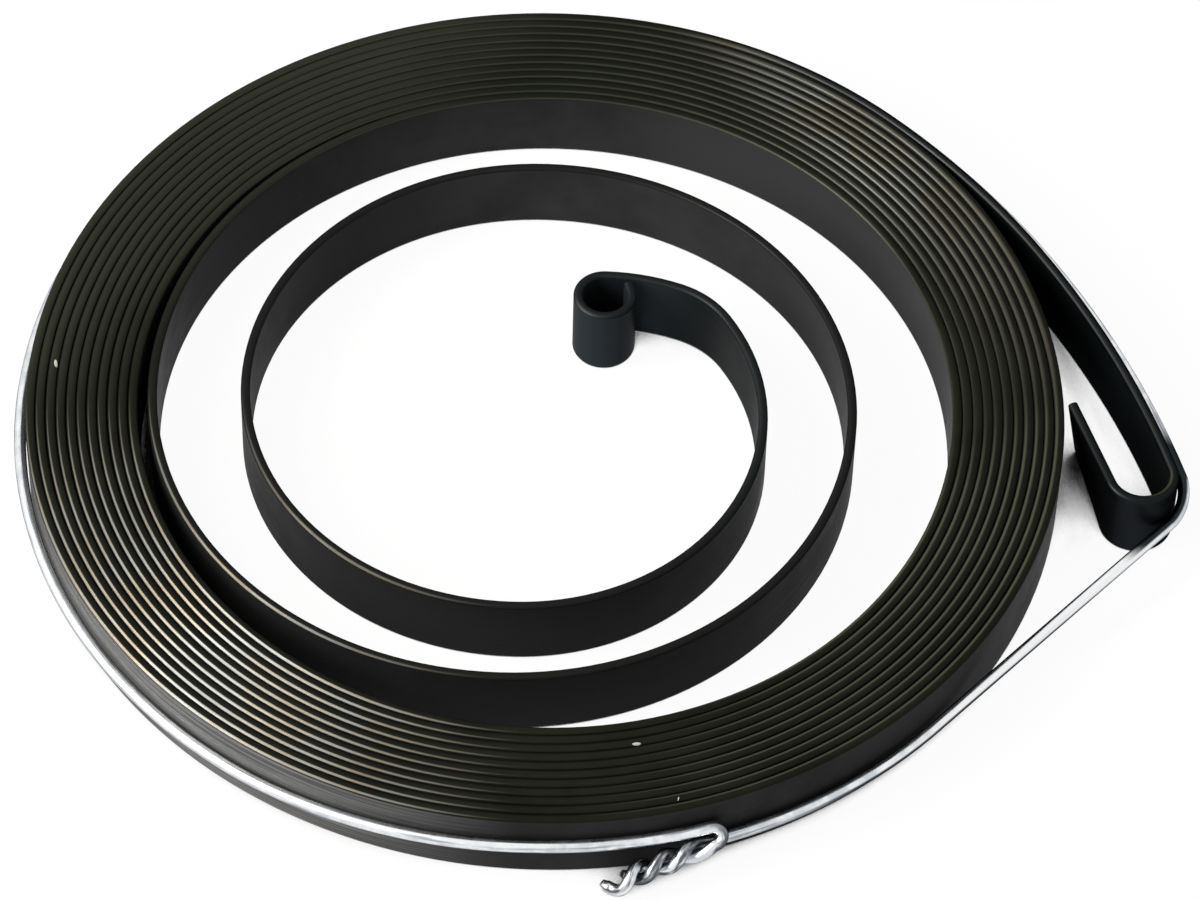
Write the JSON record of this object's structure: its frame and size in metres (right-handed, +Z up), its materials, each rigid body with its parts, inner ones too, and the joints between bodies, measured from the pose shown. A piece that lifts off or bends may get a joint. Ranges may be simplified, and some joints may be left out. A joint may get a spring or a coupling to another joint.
{
  "type": "recoil starter spring",
  "caption": "Flat spiral spring of dark tempered strip steel with a rolled inner eye and an outer U hook, wound into a tight pack and held closed by a twisted loop of galvanised tie wire.",
  "frame": {"origin": "on the axis of the packed coil, in the plane that the strip's lower edge stands on", "axes": "+Z up along the coil's axis, +X towards the outer hook, so that the strip runs clockwise outwards seen from above"},
  "size_m": [0.0862, 0.0801, 0.006],
  "materials": {
    "spring_steel": "blue-black oil-tempered satin",
    "galvanised_wire": "bright drawn zinc"
  },
  "bodies": {
    "root": {"spring_strip": "spring_steel", "tie_wire": "galvanised_wire"}
  },
  "joints": []
}
